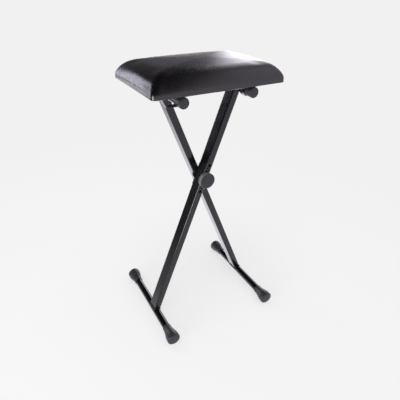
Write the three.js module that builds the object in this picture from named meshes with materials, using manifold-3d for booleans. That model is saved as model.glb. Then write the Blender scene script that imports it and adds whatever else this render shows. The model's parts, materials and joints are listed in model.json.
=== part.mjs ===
// A folding keyboard bench: a padded seat on two crossed steel legs that pivot on one bolt.
// Millimetres. X runs to the right, Y to the back and Z up. The origin is on the floor, under the
// middle of the seat. The seat hinges on the right top tube, and hooks hold the left one, which slides
// inward out of them when the legs close.
import * as THREE from "three";
import { mergeVertices } from "three/addons/utils/BufferGeometryUtils.js";
import Module from "manifold-3d";

const wasm = await Module();
wasm.setup();

// Shared clearances and facet counts
const seam = 0.3; // between pieces that touch
const overrun = 2; // how far a cutter reaches past what it cuts
const mergeDistance = 0.0001;
const tubeSides = 24;
const capSides = 24;
const smallSides = 14;
const bendSteps = 3;

// Stance: where the legs cross, how high the seat is and how far apart its tubes are
const pivotHeight = 438;
const seatUnderside = 692;
const topSpacingShare = 0.5427; // of the seat's width, between the top tubes
const legGap = 6.6;

// Legs of rectangular tube
const legWidth = 19.5;
const legDepth = 35.5;
const legWall = 1.5;
const legCorner = 3;
const hangHoleRadius = 4; // holes that the legs hung by while they were painted
const hangHoleOffset = 39;

// Cross tubes on the floor and under the seat
const footTubeRadius = 11;
const footLength = 325;
const topTubeRadius = 11;
const topLength = 212;
const tubeWall = 1.5;
const beadSize = 2.6; // the weld between a leg and its cross tube

// End caps: a soft bell on each floor tube, a shorter plug cap on each seat tube
const footCapRadius = 19;
const footCapLength = 50;
const footCapEnd = 6;
const footFlat = 0.5; // depth of the flat moulded under each foot cap
const topCapRadius = 13;
const topCapLength = 24;
const topCapEnd = 4;
const capNeckWall = 1.4;
const capAlongShares = [0, 0.18, 0.38, 0.56, 0.72, 0.84, 0.93, 0.98, 1];
const capFlareShares = [0, 0.03, 0.2, 0.52, 0.84, 1, 0.97, 0.74, 0.42];
const capFaceShare = 0.55;
const capDomeShare = 0.05;

// Pivot: bolt, crush sleeves, toothed plates, release spring, rivets, washer and hand knob
const boltRadius = 5;
const boltHeadRadius = 8.8;
const boltHeadHeight = 4;
const boltHeadShares = [1, 0.93, 0.72, 0.4];
const boltHeadRiseShares = [0.25, 0.6, 0.86, 0.98];
const boltGrip = 10; // how far the bolt reaches into the knob
const boltTipRoom = 1.6;
const sleeveWall = 1.5;
const plateRadius = 16;
const plateStrapWidth = 16.5;
const plateRim = 0.6; // flat left inside and outside the teeth
const toothHeight = 0.9;
const toothCount = 30;
const toothGap = 0.6; // between the tips of the two plates
const rivetOffset = 27;
const rivetRadius = 4;
const rivetBore = 2.6;
const rivetBoreDepth = 6;
const rivetHeadRadius = 6.4;
const rivetHeadHeight = 1.5;
const rivetTailRadius = 5.4;
const rivetTailHeight = 0.8;
const springRoom = 2; // between the bolt, the spring and the plates
const springWire = 1;
const springTurns = 2.5;
const springSteps = 8;
const springSides = 6;
const washerRadius = 13;
const washerThickness = 2;
const knobRadius = 22;
const knobThickness = 14;
const knobEdge = 2.4;
const knobDome = 0.8;
const knobGrooveWidth = 0.9;
const knobGrooveDepth = 1.1;
const knobGrooveShare = 0.3;
const nutFlats = 16;
const nutThickness = 8;

// Seat: plywood board, padded cushion, hinge straps on the right, hooks and slide pads on the left
const seatWidth = 342;
const seatDepth = 238;
const boardThickness = 12;
const skirtWall = 3; // vinyl and foam that wrap the edge of the board
const cushionCorner = 7;
const bandHeight = 9; // upright foot of the cushion's side
const shoulderHeight = 45;
const shoulderInset = 40; // how far the side leans in before it becomes the top
const crownRise = 5;
const sideDraw = 2; // how far the sides pull in between the corners
const hemRound = 1.4;
const shoulderUprightShare = 0.36; // how long the side holds its upright start
const shoulderLevelShare = 0.64; // where on its way in the side starts to level out
const shoulderSteps = 7;
const crownRingShares = [0.86, 0.66, 0.42, 0.18];
const cornerSteps = 6;
const sideSteps = 6;
const coverThickness = 0.8;
const bracketWidth = 18;
const bracketRoom = 0.8; // between a bracket and the cap beside it
const stripThickness = 2;
const stripBend = 1.6;
const strapLean = THREE.MathUtils.degToRad(38);
const hookLean = THREE.MathUtils.degToRad(27);
const flangeLength = 13;
const hookTravel = 22; // how far the left tube can slide outward inside its hook
const hookLip = 6;
const railThickness = 6.4; // nylon rail between the left tube and the board
const railCorner = 2;
const saddleLowShare = 0.15;
const hookScrewY = 4.6;
const screwRadius = 2;
const screwLength = 9.5;
const screwTip = 2.5;
const screwHeadRadius = 3.8;
const screwHeadHeight = 2.3;
const screwHeadShares = [1, 0.88, 0.5];
const screwRiseShares = [0.45, 0.84, 1];

// Places worked out from the sizes above
const footAxisHeight = footCapRadius - footFlat;
const boardCorner = cushionCorner - skirtWall - seam;
const axisDrop = seam + railThickness + seam + topTubeRadius;
const topAxisHeight = seatUnderside - axisDrop;
const topReach = (seatWidth * topSpacingShare) / 2;
const lean = Math.atan2(topReach, topAxisHeight - pivotHeight);
const footReach = (pivotHeight - footAxisHeight) * Math.tan(lean);
const lowerLength = (pivotHeight - footAxisHeight) / Math.cos(lean);
const upperLength = (topAxisHeight - pivotHeight) / Math.cos(lean);
const legOffset = (legGap + legDepth) / 2;
const legFaceY = legGap / 2 + legDepth;
const plateThickness = (legGap - 2 * seam - toothGap) / 2;
const plateBase = plateThickness - toothHeight;
const springRadius = boltRadius + springRoom + springWire / 2;
const plateHole = springRadius + springWire / 2 + springRoom / 2;
const bracketMiddle = topLength / 2 - topCapLength * (1 + capDomeShare) - bracketRoom - bracketWidth / 2;

// Colour, roughness and metalness of each finish
const finishes = {
  blackPaint: [0x1c1b1e, 0.38, 0.35],
  weldPaint: [0x232226, 0.3, 0.45],
  capPlastic: [0x2b2a2e, 0.55, 0],
  knobPlastic: [0x38373b, 0.48, 0],
  zincPlate: [0xb9bcc0, 0.32, 0.9],
  blackSteel: [0x242426, 0.42, 0.7],
  springSteel: [0x8d9094, 0.35, 0.9],
  blackNylon: [0x242326, 0.5, 0],
  blackVinyl: [0x17161a, 0.42, 0],
  plywood: [0x8c6f4c, 0.7, 0],
  blackFelt: [0x1a1a1c, 0.95, 0],
};

// Volume inside a list of triangles, negative where they face inward
function signedVolume(position, index) {
  const a = new THREE.Vector3();
  const b = new THREE.Vector3();
  const c = new THREE.Vector3();
  let sixfold = 0;
  for (let i = 0; i < index.length; i += 3) {
    a.fromBufferAttribute(position, index[i]);
    b.fromBufferAttribute(position, index[i + 1]);
    c.fromBufferAttribute(position, index[i + 2]);
    sixfold += a.dot(b.cross(c));
  }
  return sixfold / 6;
}

// Turns a closed geometry into a solid: shares its corners, drops collapsed faces, faces it outward
function solid(geometry) {
  const bare = new THREE.BufferGeometry();
  bare.setAttribute("position", geometry.getAttribute("position"));
  bare.setIndex(geometry.getIndex());
  const merged = mergeVertices(bare, mergeDistance);
  const position = merged.getAttribute("position");
  const index = merged.getIndex().array;
  const kept = [];
  for (let i = 0; i < index.length; i += 3) {
    const [a, b, c] = index.slice(i, i + 3);
    if (a !== b && b !== c && c !== a) kept.push(a, b, c);
  }
  if (signedVolume(position, kept) < 0) kept.reverse();
  return new wasm.Manifold(new wasm.Mesh({
    numProp: 3,
    vertProperties: Float32Array.from(position.array),
    triVerts: Uint32Array.from(kept),
  }));
}

// A solid back as a geometry that three.js can draw
function geometryOf(body) {
  const mesh = body.getMesh();
  const geometry = new THREE.BufferGeometry();
  geometry.setAttribute("position", new THREE.BufferAttribute(mesh.vertProperties, 3));
  geometry.setIndex(new THREE.BufferAttribute(mesh.triVerts, 1));
  geometry.computeVertexNormals();
  return geometry;
}

// A named mesh with a material of its own
function piece(name, body, finish) {
  const [color, roughness, metalness] = finishes[finish];
  const material = new THREE.MeshStandardMaterial({ color, roughness, metalness });
  const mesh = new THREE.Mesh(geometryOf(body), material);
  mesh.name = name;
  return mesh;
}

function groupOf(children, position = [0, 0, 0], rotation = [0, 0, 0]) {
  const group = new THREE.Group();
  group.position.set(...position);
  group.rotation.set(...rotation);
  group.add(...children);
  return group;
}

// A bar along Y, round by default
function bar(radius, fromY, toY, x = 0, z = 0, sides = smallSides) {
  const geometry = new THREE.CylinderGeometry(radius, radius, toY - fromY, sides);
  geometry.translate(x, (fromY + toY) / 2, z);
  return solid(geometry);
}

// A turned piece about Y from [radius, y] pairs that start and end on the axis or close on themselves
function turned(profile, sides) {
  const points = profile.map(([radius, y]) => new THREE.Vector2(radius, y));
  return solid(new THREE.LatheGeometry(points, sides));
}

// A ring about Y with a plain bore
function ring(outer, inner, fromY, toY, sides) {
  return turned([[inner, fromY], [outer, fromY], [outer, toY], [inner, toY], [inner, fromY]], sides);
}

// An outline whose corners are rounded, each by its own radius
function roundedShape(corners, radii) {
  const shape = new THREE.Shape();
  corners.forEach(([x, y], i) => {
    const corner = new THREE.Vector2(x, y);
    const back = new THREE.Vector2(...corners.at(i - 1)).sub(corner).normalize();
    const ahead = new THREE.Vector2(...corners[(i + 1) % corners.length]).sub(corner).normalize();
    const half = Math.acos(back.dot(ahead)) / 2;
    const radius = radii[i];
    if (radius > 0) {
      const inward = back.clone().add(ahead).normalize();
      const middle = corner.clone().addScaledVector(inward, radius / Math.sin(half));
      const start = back.multiplyScalar(radius / Math.tan(half)).add(corner).sub(middle);
      const end = ahead.multiplyScalar(radius / Math.tan(half)).add(corner).sub(middle);
      const clockwise = start.cross(end) < 0;
      shape.absarc(middle.x, middle.y, radius, start.angle(), end.angle(), clockwise);
    } else if (i === 0) {
      shape.moveTo(x, y);
    } else {
      shape.lineTo(x, y);
    }
  });
  shape.closePath();
  return shape;
}

function rectangle(width, depth, corner) {
  const x = width / 2;
  const y = depth / 2;
  return roundedShape([[-x, -y], [x, -y], [x, y], [-x, y]], [corner, corner, corner, corner]);
}

// A prism along Z from a shape in X and Y
function prism(shape, fromZ, toZ) {
  const settings = { depth: toZ - fromZ, bevelEnabled: false, curveSegments: bendSteps };
  const geometry = new THREE.ExtrudeGeometry(shape, settings);
  geometry.translate(0, 0, fromZ);
  return solid(geometry);
}

// A bent strip, block or plate: a shape in X and Z, carried along Y
function section(shape, fromY, toY) {
  const settings = { depth: toY - fromY, bevelEnabled: false, curveSegments: bendSteps };
  const geometry = new THREE.ExtrudeGeometry(shape, settings);
  geometry.rotateX(Math.PI / 2);
  geometry.translate(0, toY, 0);
  return solid(geometry);
}

// Joins rings of equally many points into one closed skin. Without a fan at each end, the last ring
// joins the first.
function loft(rings, fans) {
  const count = rings[0].length;
  const points = rings.flat();
  const faces = [];
  const strips = fans ? rings.length - 1 : rings.length;
  for (let level = 0; level < strips; level += 1) {
    const low = level * count;
    const high = ((level + 1) % rings.length) * count;
    for (let i = 0; i < count; i += 1) {
      const next = (i + 1) % count;
      faces.push(low + i, low + next, high + next, low + i, high + next, high + i);
    }
  }
  if (fans) {
    const middle = (ringPoints) => ringPoints
      .reduce((sum, point) => sum.add(point), new THREE.Vector3())
      .divideScalar(count);
    const bottom = points.push(middle(rings[0])) - 1;
    const top = points.push(middle(rings.at(-1))) - 1;
    const last = (rings.length - 1) * count;
    for (let i = 0; i < count; i += 1) {
      const next = (i + 1) % count;
      faces.push(bottom, next, i, top, last + i, last + next);
    }
  }
  const geometry = new THREE.BufferGeometry().setFromPoints(points);
  geometry.setIndex(faces);
  return solid(geometry);
}

// One leg in its own frame: the pivot at the origin, Z up along the tube, the outer face towards -Y
function legSolid(squareHole) {
  const outline = rectangle(legWidth, legDepth, legCorner);
  outline.holes.push(rectangle(legWidth - 2 * legWall, legDepth - 2 * legWall, legCorner - legWall));
  const reachY = legDepth / 2 + overrun;
  let leg = prism(outline, -lowerLength, upperLength);
  leg = leg.subtract(bar(footTubeRadius + seam, -reachY, reachY, 0, -lowerLength, tubeSides));
  leg = leg.subtract(bar(topTubeRadius + seam, -reachY, reachY, 0, upperLength, tubeSides));
  leg = leg.subtract(bar(boltRadius + seam, -reachY, reachY));
  if (squareHole) {
    const across = 2 * (boltRadius + seam);
    const hole = new THREE.BoxGeometry(across, reachY, across);
    leg = leg.subtract(solid(hole.translate(0, -reachY / 2 - legDepth / 4, 0)));
  }
  for (const side of [-1, 1]) {
    leg = leg.subtract(bar(rivetRadius + seam, -reachY, reachY, 0, side * rivetOffset));
    leg = leg.subtract(bar(hangHoleRadius, -reachY, 0, 0, side * hangHoleOffset));
  }
  return leg;
}

// The weld round the end of a leg, which hugs the cross tube: toTube is +1 at the top, -1 at the foot
function beadSolid(tubeRadius, alongLeg, toTube) {
  const grown = 2 * (seam + beadSize);
  const rim = legCorner + seam + beadSize;
  const ends = [alongLeg, alongLeg - toTube * (tubeRadius + seam + beadSize)];
  const [low, high] = ends.sort((a, b) => a - b);
  const reachY = legDepth / 2 + seam + beadSize + overrun;
  const collar = prism(rectangle(legWidth + grown, legDepth + grown, rim), low, high);
  const inner = rectangle(legWidth + 2 * seam, legDepth + 2 * seam, legCorner + seam);
  return collar
    .intersect(bar(tubeRadius + seam + beadSize, -reachY, reachY, 0, alongLeg, tubeSides))
    .subtract(bar(tubeRadius + seam, -reachY, reachY, 0, alongLeg, tubeSides))
    .subtract(prism(inner, low - overrun, high + overrun));
}

// A toothed pivot plate on a strap along the leg: base from y = 0, teeth towards +Y
function plateSolid() {
  const strap = rectangle(plateStrapWidth, 2 * rivetOffset + plateStrapWidth, plateStrapWidth / 3);
  let plate = section(strap, 0, plateBase);
  plate = plate.add(bar(plateRadius, 0, plateBase, 0, 0, tubeSides));
  const toothRing = (radius, heights) => {
    const points = [];
    for (let i = 0; i < 2 * toothCount; i += 1) {
      const angle = (i * Math.PI) / toothCount;
      points.push(new THREE.Vector3(radius * Math.sin(angle), heights[i % 2], radius * Math.cos(angle)));
    }
    return points;
  };
  const sunk = plateBase / 2;
  const toothInner = plateHole + plateRim;
  const toothOuter = plateRadius - plateRim;
  plate = plate.add(loft([
    toothRing(toothInner, [sunk, sunk]),
    toothRing(toothOuter, [sunk, sunk]),
    toothRing(toothOuter, [plateBase, plateThickness]),
    toothRing(toothInner, [plateBase, plateThickness]),
  ], false));
  plate = plate.subtract(bar(plateHole, -overrun, plateThickness + overrun, 0, 0, tubeSides));
  for (const side of [-1, 1]) {
    const z = side * rivetOffset;
    const seat = plateBase - rivetTailHeight - seam;
    plate = plate.subtract(bar(rivetRadius + seam, -overrun, plateThickness + overrun, 0, z));
    plate = plate.subtract(bar(rivetTailRadius + seam, seat, plateThickness + overrun, 0, z));
  }
  return plate;
}

// A tubular rivet: y = 0 is the outer face of the leg, and the tail is flush in the pivot plate
function rivetSolid() {
  const face = -seam - rivetHeadHeight;
  const tailEnd = legDepth + seam + plateBase;
  const tailStart = tailEnd - rivetTailHeight;
  return turned([
    [0, rivetBoreDepth],
    [rivetBore, rivetBoreDepth],
    [rivetBore, face],
    [rivetHeadRadius - rivetHeadHeight / 2, face],
    [rivetHeadRadius, face + rivetHeadHeight / 2],
    [rivetHeadRadius, -seam],
    [rivetRadius, -seam],
    [rivetRadius, tailStart],
    [rivetTailRadius, tailStart],
    [rivetTailRadius, tailEnd],
    [0, tailEnd],
  ], smallSides);
}

// A leg with what is fixed to it, in the leg's own frame
function legPieces(prefix, footName, topName, squareHole) {
  const outerFace = -legDepth / 2;
  const innerLength = legDepth / 2 - legWall - seam;
  const sleeveBore = boltRadius + seam;
  const sleeve = ring(sleeveBore + sleeveWall, sleeveBore, -innerLength, innerLength, smallSides);
  const plate = piece(`${prefix}_clutch_plate`, plateSolid(), "blackSteel");
  plate.position.y = legDepth / 2 + seam;
  const pieces = [
    piece(`${prefix}_leg`, legSolid(squareHole), "blackPaint"),
    piece(`${footName}_weld`, beadSolid(footTubeRadius, -lowerLength, -1), "weldPaint"),
    piece(`${topName}_weld`, beadSolid(topTubeRadius, upperLength, 1), "weldPaint"),
    piece(`${prefix}_leg_sleeve`, sleeve, "zincPlate"),
    plate,
  ];
  for (const [place, side] of [["lower", -1], ["upper", 1]]) {
    const rivet = piece(`${prefix}_${place}_rivet`, rivetSolid(), "blackSteel");
    rivet.position.set(0, outerFace, side * rivetOffset);
    pieces.push(rivet);
  }
  return pieces;
}

// A soft end cap about Y: its mouth at y = 0, its closed end at y = length, and a flat below it
function capSolid(tubeRadius, radius, length, end, flat) {
  const bore = tubeRadius + seam;
  const neck = bore + capNeckWall;
  const outside = capAlongShares.map((along, i) => {
    return [neck + (radius - neck) * capFlareShares[i], along * length];
  });
  const bulge = length * capDomeShare;
  const cap = turned([
    [0, length - end],
    [bore, length - end],
    [bore, 0],
    ...outside,
    [radius * capFaceShare, length + bulge / 2],
    [0, length + bulge],
  ], capSides);
  if (flat === 0) return cap;
  const cutter = new THREE.BoxGeometry(2 * radius, 2 * length, 2 * overrun);
  return cap.subtract(solid(cutter.translate(0, length, flat - radius - overrun)));
}

// A cross tube along Y with a cap on each end
function crossTube(name, tubeRadius, length, capRadius, capLength, capEnd, capFlat) {
  const bulge = capLength * capDomeShare;
  const mouth = length / 2 - bulge - capLength;
  const tubeEnd = length / 2 - bulge - capEnd - seam;
  const tube = ring(tubeRadius, tubeRadius - tubeWall, -tubeEnd, tubeEnd, tubeSides);
  const cap = capSolid(tubeRadius, capRadius, capLength, capEnd, capFlat);
  const rear = piece(`${name}_rear_cap`, cap, "capPlastic");
  rear.position.y = mouth;
  const front = piece(`${name}_front_cap`, cap, "capPlastic");
  front.position.y = -mouth;
  front.rotation.z = Math.PI;
  return [piece(`${name}_tube`, tube, "blackPaint"), front, rear];
}

// The pivot bolt about Y: y = 0 is the rear face of the rear leg, the domed head lies behind it
function boltSolid(tipY) {
  const head = boltHeadShares.map((share, i) => {
    return [share * boltHeadRadius, seam + boltHeadRiseShares[i] * boltHeadHeight];
  });
  const body = turned([
    [0, tipY],
    [boltRadius - seam, tipY],
    [boltRadius, tipY + boltRadius / 2],
    [boltRadius, seam],
    [boltHeadRadius, seam],
    ...head,
    [0, seam + boltHeadHeight],
  ], smallSides);
  const neck = new THREE.BoxGeometry(2 * boltRadius, legWall + 2 * seam, 2 * boltRadius);
  return body.add(solid(neck.translate(0, -legWall / 2 + seam, 0)));
}

// The spring that pushes the toothed plates apart, wound round the bolt between the legs
function springSolid() {
  const climb = legGap - 2 * seam - springWire;
  const steps = springTurns * springSteps;
  const points = [];
  for (let i = 0; i <= steps; i += 1) {
    const angle = (2 * Math.PI * i) / springSteps;
    const y = climb * (i / steps - 1 / 2);
    points.push(new THREE.Vector3(springRadius * Math.cos(angle), y, springRadius * Math.sin(angle)));
  }
  const gaps = points.slice(springSteps).map((point, i) => point.distanceTo(points[i]) - springWire);
  console.log(`release spring: least gap between turns ${Math.min(...gaps).toFixed(2)} mm`);
  for (const [end, next] of [[0, 1], [steps, steps - 1]]) {
    const along = new THREE.Vector3(-points[end].z, 0, points[end].x).setLength(springWire);
    if (next === 1) points.unshift(points[end].clone().sub(along));
    else points.push(points.at(-1).clone().add(along));
  }
  const wire = new THREE.Shape().absarc(0, 0, springWire / 2, 0, 2 * Math.PI);
  return solid(new THREE.ExtrudeGeometry(wire, {
    steps: points.length - 1,
    curveSegments: springSides / 2,
    bevelEnabled: false,
    extrudePath: new THREE.CatmullRomCurve3(points),
  }));
}

// The hand knob about Y: its back at y = 0, its face towards +Y
function knobSolid() {
  const groove = knobThickness * knobGrooveShare;
  const edgeFlat = knobRadius - knobEdge;
  const edgePoints = new THREE.EllipseCurve(
    edgeFlat, knobThickness - knobEdge, knobEdge, knobEdge, 0, Math.PI / 2,
  ).getPoints(2 * bendSteps).map((point) => [point.x, point.y]);
  const body = turned([
    [0, 0],
    [knobRadius - knobEdge / 2, 0],
    [knobRadius, knobEdge / 2],
    [knobRadius, groove],
    [knobRadius - knobGrooveDepth, groove],
    [knobRadius - knobGrooveDepth, groove + knobGrooveWidth],
    [knobRadius, groove + knobGrooveWidth],
    ...edgePoints,
    [edgeFlat / 2, knobThickness + knobDome * (3 / 4)],
    [0, knobThickness + knobDome],
  ], capSides);
  const hexRadius = (nutFlats / 2 + seam) / Math.cos(Math.PI / 6);
  return body
    .subtract(bar(hexRadius, -overrun, nutThickness + 2 * seam, 0, 0, 6))
    .subtract(bar(boltRadius + seam, -overrun, boltGrip + boltTipRoom));
}

function nutSolid() {
  const hexRadius = nutFlats / 2 / Math.cos(Math.PI / 6);
  return bar(hexRadius, 0, nutThickness, 0, 0, 6)
    .subtract(bar(boltRadius + seam, -overrun, nutThickness + overrun));
}

// One level of the cushion: a rounded rectangle whose sides pull in between the corners
function cushionRing(inset, z, draw, corner) {
  const halfX = seatWidth / 2 - inset;
  const halfY = seatDepth / 2 - inset;
  const points = [];
  for (let quarter = 0; quarter < 4; quarter += 1) {
    const startAngle = (Math.PI / 2) * quarter;
    const signX = quarter === 0 || quarter === 3 ? 1 : -1;
    const signY = quarter < 2 ? 1 : -1;
    for (let i = 0; i <= cornerSteps; i += 1) {
      const angle = startAngle + (Math.PI / 2) * (i / cornerSteps);
      const x = signX * (halfX - corner) + corner * Math.cos(angle);
      const y = signY * (halfY - corner) + corner * Math.sin(angle);
      points.push(new THREE.Vector3(x, y, z));
    }
    const sideFrom = points.at(-1);
    const outward = new THREE.Vector3(-Math.sin(startAngle), Math.cos(startAngle), 0);
    const along = new THREE.Vector3(-outward.y, outward.x, 0);
    const length = 2 * ((quarter % 2 === 0 ? halfX : halfY) - corner);
    for (let i = 1; i < sideSteps; i += 1) {
      const share = i / sideSteps;
      const point = sideFrom.clone().addScaledVector(along, length * share);
      points.push(point.addScaledVector(outward, -draw * Math.sin(Math.PI * share)));
    }
  }
  return points;
}

// The cushion with a pocket below for the board, its underside at z = 0
function cushionSolid() {
  const pocket = skirtWall;
  const pocketTop = boardBase + boardThickness + seam;
  const pocketCorner = boardCorner + seam;
  const rings = [
    cushionRing(pocket, pocketTop, 0, pocketCorner),
    cushionRing(pocket, 0, 0, pocketCorner),
    cushionRing(hemRound, 0, sideDraw / 2, cushionCorner - hemRound),
    cushionRing(0, hemRound, sideDraw, cushionCorner),
    cushionRing(0, bandHeight, sideDraw, cushionCorner),
  ];
  const shoulder = new THREE.CubicBezierCurve(
    new THREE.Vector2(0, bandHeight),
    new THREE.Vector2(0, bandHeight + (shoulderHeight - bandHeight) * shoulderUprightShare),
    new THREE.Vector2(shoulderInset * shoulderLevelShare, shoulderHeight),
    new THREE.Vector2(shoulderInset, shoulderHeight),
  ).getPoints(shoulderSteps).slice(1);
  for (const { x: inset, y: z } of shoulder) {
    rings.push(cushionRing(inset, z, sideDraw * (1 - inset / shoulderInset), cushionCorner));
  }
  const edge = rings.at(-1);
  for (const share of crownRingShares) {
    const z = shoulderHeight + crownRise * (1 - share * share);
    rings.push(edge.map((point) => new THREE.Vector3(point.x * share, point.y * share, z)));
  }
  return loft(rings, true);
}

// How far out a bracket's side is at height z over the tube's axis, where the side leans out and
// keeps the given distance from the axis
function sideAt(distance, tilt, z) {
  return (distance + z * Math.sin(tilt)) / Math.cos(tilt);
}

const boardBase = coverThickness + seam;
const bracketInner = topTubeRadius + seam;
const bracketOuter = bracketInner + stripThickness;
const flangeTop = axisDrop - seam;
const flangeBottom = flangeTop - stripThickness;
const strapFlangeStart = sideAt(bracketInner, strapLean, flangeTop);
const hookFlangeStart = hookTravel + sideAt(bracketInner, hookLean, flangeTop);
const screwShare = 0.58; // where on a flange its screw sits

// A bracket's outline in X and Z, as wide along Y as every bracket, centred on Y
function bracketSection(outline) {
  return section(outline, -bracketWidth / 2, bracketWidth / 2);
}

// The strap that wraps the right tube: a hat section in X and Z about the tube's axis
function strapSolid() {
  const flangeEnd = strapFlangeStart + flangeLength;
  const innerLow = sideAt(bracketInner, strapLean, -bracketInner);
  const outerTop = sideAt(bracketOuter, strapLean, flangeBottom);
  const outerLow = sideAt(bracketOuter, strapLean, -bracketOuter);
  const halfInside = [[innerLow, -bracketInner], [strapFlangeStart, flangeTop], [flangeEnd, flangeTop]];
  const halfOutside = [[flangeEnd, flangeBottom], [outerTop, flangeBottom], [outerLow, -bracketOuter]];
  const half = [...halfInside, ...halfOutside];
  const mirrored = half.map(([x, z]) => [-x, z]).reverse();
  const wide = stripBend + stripThickness;
  const radii = [stripBend, wide, 0, 0, stripBend, wide];
  const outline = roundedShape([...half, ...mirrored], [...radii, ...radii.toReversed()]);
  const screwX = strapFlangeStart + flangeLength * screwShare;
  return [-1, 1].reduce((body, side) => {
    return body.subtract(screwHole(side * screwX, 0, flangeBottom - overrun, flangeTop + overrun));
  }, bracketSection(outline));
}

// A round hole for a screw along Z
function screwHole(x, y, fromZ, toZ) {
  const radius = screwRadius + seam;
  const geometry = new THREE.CylinderGeometry(radius, radius, toZ - fromZ, smallSides);
  geometry.rotateX(Math.PI / 2);
  geometry.translate(x, y, (fromZ + toZ) / 2);
  return solid(geometry);
}

// The hook under the left tube: open towards +X, so that the tube can slide inward out of it
function hookSolid() {
  const flangeEnd = hookFlangeStart + flangeLength;
  const wide = stripBend + stripThickness;
  const outline = roundedShape([
    [-flangeEnd, flangeTop],
    [-hookFlangeStart, flangeTop],
    [-hookTravel - sideAt(bracketInner, hookLean, -bracketInner), -bracketInner],
    [hookLip, -bracketInner],
    [hookLip, -bracketOuter],
    [-hookTravel - sideAt(bracketOuter, hookLean, -bracketOuter), -bracketOuter],
    [-hookTravel - sideAt(bracketOuter, hookLean, flangeBottom), flangeBottom],
    [-flangeEnd, flangeBottom],
  ], [0, wide, stripBend, 0, 0, wide, stripBend, 0]);
  const screwX = -hookFlangeStart - flangeLength * screwShare;
  return [-1, 1].reduce((body, end) => {
    return body.subtract(screwHole(screwX, end * hookScrewY, flangeBottom - overrun, flangeTop + overrun));
  }, bracketSection(outline));
}

// The nylon block between the board and the right tube, with a half-round seat for the tube
function saddleSolid() {
  const low = topTubeRadius * saddleLowShare;
  const top = flangeTop;
  const shoulder = top - 2 * stripBend;
  const lowHalf = sideAt(topTubeRadius, strapLean, low);
  const topHalf = sideAt(topTubeRadius, strapLean, shoulder);
  const outline = roundedShape([
    [-lowHalf, low],
    [lowHalf, low],
    [topHalf, shoulder],
    [topHalf, top],
    [-topHalf, top],
    [-topHalf, shoulder],
  ], [0, 0, 0, 0, 0, 0]);
  return bracketSection(outline)
    .subtract(bar(bracketInner, -bracketWidth, bracketWidth, 0, 0, tubeSides));
}

// A pan-head wood screw along Z: the head hangs below z = 0
function screwSolid() {
  const head = screwHeadShares.map((share, i) => {
    return [share * screwHeadRadius, -seam - screwRiseShares[i] * screwHeadHeight];
  }).reverse();
  const geometry = new THREE.LatheGeometry([
    [0, -seam - screwHeadHeight],
    ...head,
    [screwHeadRadius, -seam],
    [screwRadius, -seam],
    [screwRadius, screwLength - screwTip],
    [0, screwLength],
  ].map(([radius, y]) => new THREE.Vector2(radius, y)), smallSides);
  geometry.rotateX(Math.PI / 2);
  return solid(geometry);
}

// Places of all the screws: [name, x, y]
function screwPlaces() {
  const places = [];
  const strapScrew = strapFlangeStart + flangeLength * screwShare;
  const hookScrew = -topReach - hookFlangeStart - flangeLength * screwShare;
  for (const [end, y] of [["front", -bracketMiddle], ["rear", bracketMiddle]]) {
    places.push([`right_${end}_inner_screw`, topReach - strapScrew, y]);
    places.push([`right_${end}_outer_screw`, topReach + strapScrew, y]);
    places.push([`left_${end}_screw_a`, hookScrew, y - hookScrewY]);
    places.push([`left_${end}_screw_b`, hookScrew, y + hookScrewY]);
  }
  return places;
}

// The plywood board or the fabric cover under it, both drilled for the screws
function panelSolid(corner, fromZ, toZ, holeTop) {
  const edge = 2 * (skirtWall + seam);
  const panel = prism(rectangle(seatWidth - edge, seatDepth - edge, corner), fromZ, toZ);
  return screwPlaces().reduce((body, [, x, y]) => {
    return body.subtract(screwHole(x, y, fromZ - overrun, holeTop));
  }, panel);
}

// The seat with its brackets, built about the lower edge of its cushion
function seatPieces() {
  const boardTop = boardBase + boardThickness;
  const screwTop = screwLength - stripThickness + seam;
  const pieces = [
    piece("seat_board", panelSolid(boardCorner, boardBase, boardTop, screwTop), "plywood"),
    piece("seat_cushion", cushionSolid(), "blackVinyl"),
    piece("seat_under_cover", panelSolid(boardCorner, 0, coverThickness, boardBase), "blackFelt"),
  ];
  const railFrom = -topReach - hookTravel - bracketInner;
  const railTo = topReach - strapFlangeStart - flangeLength - seam;
  for (const [end, y] of [["front", -bracketMiddle], ["rear", bracketMiddle]]) {
    const strap = piece(`right_${end}_strap`, strapSolid(), "blackSteel");
    strap.position.set(topReach, y, -axisDrop);
    const saddle = piece(`right_${end}_saddle`, saddleSolid(), "blackNylon");
    saddle.position.set(topReach, y, -axisDrop);
    const hook = piece(`left_${end}_hook`, hookSolid(), "blackSteel");
    hook.position.set(-topReach, y, -axisDrop);
    const railShape = rectangle(railTo - railFrom, bracketWidth, railCorner);
    const railBlock = prism(railShape, -seam - railThickness, -seam);
    const rail = piece(`left_${end}_slide_rail`, railBlock, "blackNylon");
    rail.position.set((railFrom + railTo) / 2, y, 0);
    pieces.push(strap, saddle, hook, rail);
  }
  for (const [name, x, y] of screwPlaces()) {
    const screw = piece(name, screwSolid(), "zincPlate");
    screw.position.set(x, y, -seam - stripThickness);
    pieces.push(screw);
  }
  return pieces;
}

// The bolt, the spring and the knob about the pivot, in a frame at the crossing of the legs
function pivotPieces() {
  const washerFrom = -legFaceY - seam - washerThickness;
  const knobBack = washerFrom - seam;
  const tipY = knobBack - boltGrip - legFaceY;
  const bolt = piece("pivot_bolt", boltSolid(tipY), "zincPlate");
  bolt.position.y = legFaceY;
  bolt.rotation.y = -lean;
  const washer = ring(washerRadius, boltRadius + seam, washerFrom, -legFaceY - seam, smallSides);
  const knob = piece("pivot_knob", knobSolid(), "knobPlastic");
  knob.position.y = knobBack;
  knob.rotation.x = Math.PI;
  const nut = piece("knob_nut", nutSolid(), "zincPlate");
  nut.position.y = knobBack - seam;
  nut.rotation.x = Math.PI;
  return [
    bolt,
    piece("release_spring", springSolid(), "springSteel"),
    piece("thrust_washer", washer, "zincPlate"),
    knob,
    nut,
  ];
}

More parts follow.
